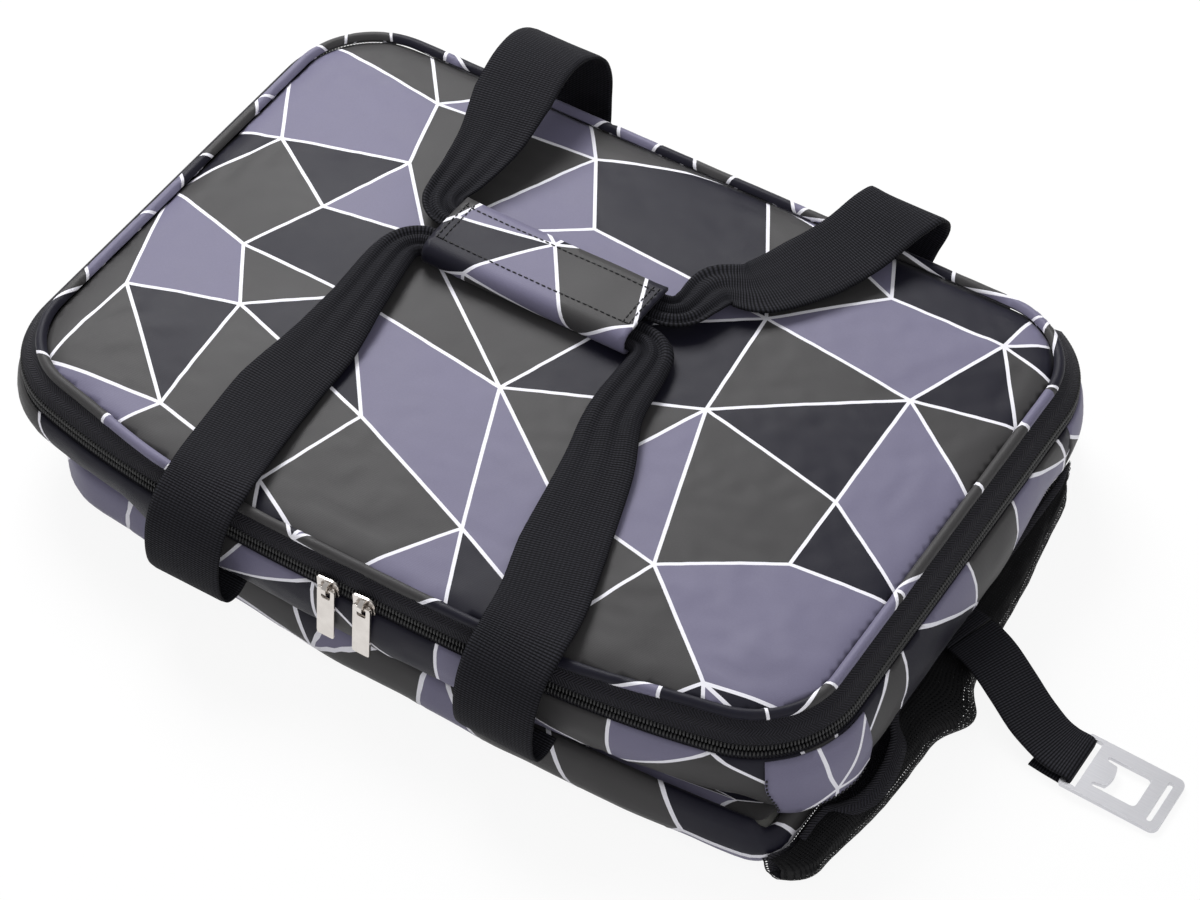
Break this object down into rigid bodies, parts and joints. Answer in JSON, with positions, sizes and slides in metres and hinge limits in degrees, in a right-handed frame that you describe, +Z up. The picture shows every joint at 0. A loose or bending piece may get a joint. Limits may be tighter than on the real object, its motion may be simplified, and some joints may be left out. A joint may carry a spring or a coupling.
{
  "type": "soft cooler bag",
  "caption": "Soft insulated cooler bag, shown folded flat: zipped lid, carry handles with a grip wrap, mesh side pocket and a bottle opener on a strap.",
  "frame": {"origin": "middle of the flat bottom, on the floor", "axes": "+Z up, +X to the side with the mesh pocket and the opener, -Y to the front with the zipper pulls"},
  "size_m": [0.5316, 0.3235, 0.1005],
  "materials": {
    "print_light": "coated woven polyester, printed",
    "print_dark": "coated woven polyester, printed",
    "print_grey": "coated woven polyester, printed",
    "black_webbing": "woven polypropylene webbing and tape",
    "black_nylon": "nylon coil and hook-and-loop",
    "mesh": "knitted elastic mesh",
    "lining": "heat-sealed food-safe film",
    "foam": "closed-cell foam sheet",
    "board": "stiff plastic board",
    "nickel": "polished nickel plate",
    "steel": "brushed stainless"
  },
  "bodies": {
    "base": {"base_cover": "print_dark", "base_board": "board", "base_foam": "foam", "base_lining": "lining", "wall_bellows": "print_grey", "lining_bellows": "lining", "pocket_mesh": "mesh", "pocket_binding": "black_webbing", "opener_anchor": "black_webbing"},
    "rim": {"rim_band": "print_grey", "rim_foam": "foam", "rim_lining": "lining", "rim_zip_tape": "black_webbing", "rim_zip_coil": "black_nylon", "hinge_strip": "black_webbing", "zip_tab_left": "black_webbing", "zip_tab_right": "black_webbing", "corner_ear": "print_light"},
    "lid": {"lid_cover": "print_light", "lid_foam": "foam", "lid_lining": "lining", "lid_piping": "print_light", "lid_zip_tape": "black_webbing", "lid_zip_coil": "black_nylon"},
    "front_handle": {"front_webbing": "black_webbing"},
    "rear_handle": {"rear_webbing": "black_webbing", "grip_wrap": "print_light", "wrap_hook_patch": "black_nylon", "wrap_loop_patch": "black_nylon"},
    "slider_left": {"slider_left": "nickel"},
    "pull_left": {"pull_left": "nickel"},
    "slider_right": {"slider_right": "nickel"},
    "pull_right": {"pull_right": "nickel"},
    "opener_strap": {"opener_strap": "black_webbing"},
    "opener_plate": {"opener_plate": "steel"}
  },
  "joints": [
    {"name": "body_unfold", "type": "slide", "parent": "base", "child": "rim", "axis": [0, 0, 1], "range_m": [0, 0.228], "deforming": ["wall_bellows", "lining_bellows"]},
    {"name": "lid_hinge", "type": "hinge", "parent": "rim", "child": "lid", "pos_m": [0, 0.137, 0.057], "axis": [-1, 0, 0], "range_deg": [0, 130]},
    {"name": "front_handle_fold", "type": "hinge", "parent": "rim", "child": "front_handle", "pos_m": [0, -0.15, 0.027], "axis": [1, 0, 0], "range_deg": [0, 150], "deforming": ["front_webbing"]},
    {"name": "rear_handle_fold", "type": "hinge", "parent": "rim", "child": "rear_handle", "pos_m": [0, 0.148, 0.034], "axis": [-1, 0, 0], "range_deg": [0, 130]},
    {"name": "slider_left_travel", "type": "slide", "parent": "rim", "child": "slider_left", "axis": [-1, 0, 0], "range_m": [0, 0.045]},
    {"name": "slider_right_travel", "type": "slide", "parent": "rim", "child": "slider_right", "axis": [1, 0, 0], "range_m": [0, 0.045]},
    {"name": "pull_left_swing", "type": "hinge", "parent": "slider_left", "child": "pull_left", "pos_m": [-0.009, -0.1577, 0.057], "axis": [-1, 0, 0], "range_deg": [0, 150]},
    {"name": "pull_right_swing", "type": "hinge", "parent": "slider_right", "child": "pull_right", "pos_m": [0.009, -0.1577, 0.057], "axis": [-1, 0, 0], "range_deg": [0, 150]},
    {"name": "opener_strap_lift", "type": "hinge", "parent": "base", "child": "opener_strap", "pos_m": [0.215, -0.009, 0.0195], "axis": [0, -1, 0], "range_deg": [0, 60]},
    {"name": "opener_plate_swing", "type": "hinge", "parent": "opener_strap", "child": "opener_plate", "pos_m": [0.2785, -0.032, 0.0034], "axis": [0, -1, 0], "range_deg": [0, 110]}
  ],
  "couplings": [
    {"joint": "front_handle_fold", "follows": "lid_hinge", "ratio": 1.15},
    {"joint": "rear_handle_fold", "follows": "lid_hinge", "ratio": 1}
  ]
}
